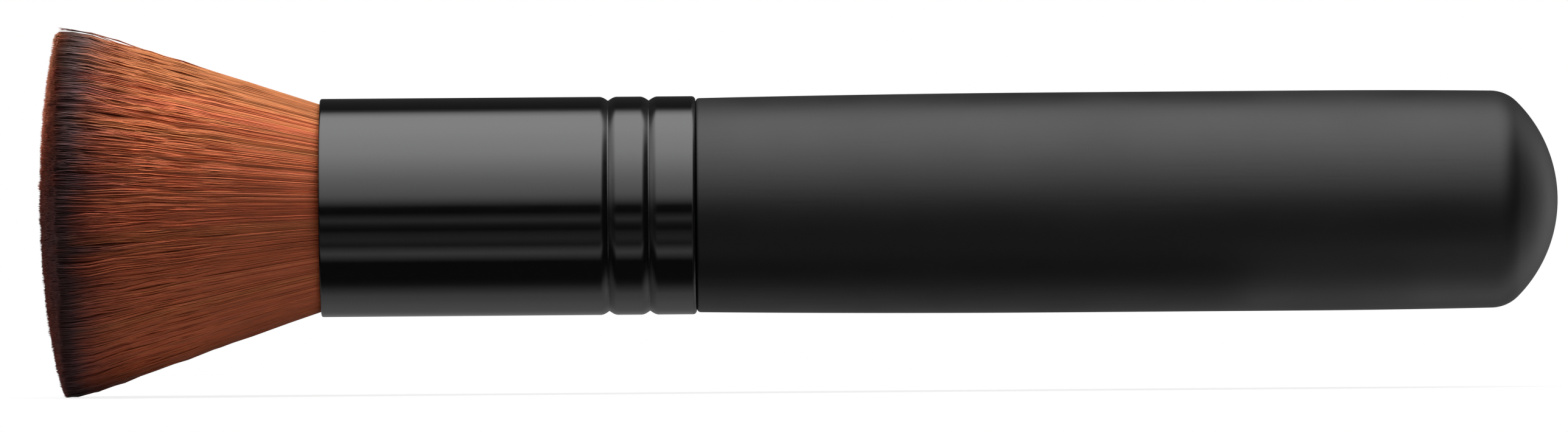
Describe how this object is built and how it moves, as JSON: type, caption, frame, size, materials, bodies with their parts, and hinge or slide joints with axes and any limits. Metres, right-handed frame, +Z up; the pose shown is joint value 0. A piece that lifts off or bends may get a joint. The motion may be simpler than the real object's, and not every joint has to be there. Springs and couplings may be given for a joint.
{
  "type": "kabuki makeup brush",
  "caption": "Straight-handled kabuki face brush with a wide flat-topped flared fibre tuft in a crimped round ferrule on a thick round handle.",
  "frame": {"origin": "middle of the bounding box's base: midway along the brush, under its axis, level with the lowest point of the tuft's rim", "axes": "+X along the brush's axis from the tuft to the butt of the handle, +Z up, +Y to the far side when the tuft is on the left"},
  "size_m": [0.1528, 0.0366, 0.0366],
  "materials": {
    "fibre": "dyed synthetic fibre, orange-brown with a dark band and reddish tips",
    "thread": "matte twisted thread",
    "epoxy": "cured clear epoxy, slightly yellow, brown where it holds the fibre roots",
    "ferrule_black": "glossy black lacquer on drawn aluminium",
    "handle_black": "satin to matte black lacquer on turned wood"
  },
  "bodies": {
    "root": {"bristles": "fibre", "root_binding": "thread", "root_plug": "epoxy", "ferrule": "ferrule_black", "tenon_glue": "epoxy", "handle": "handle_black"}
  },
  "joints": []
}
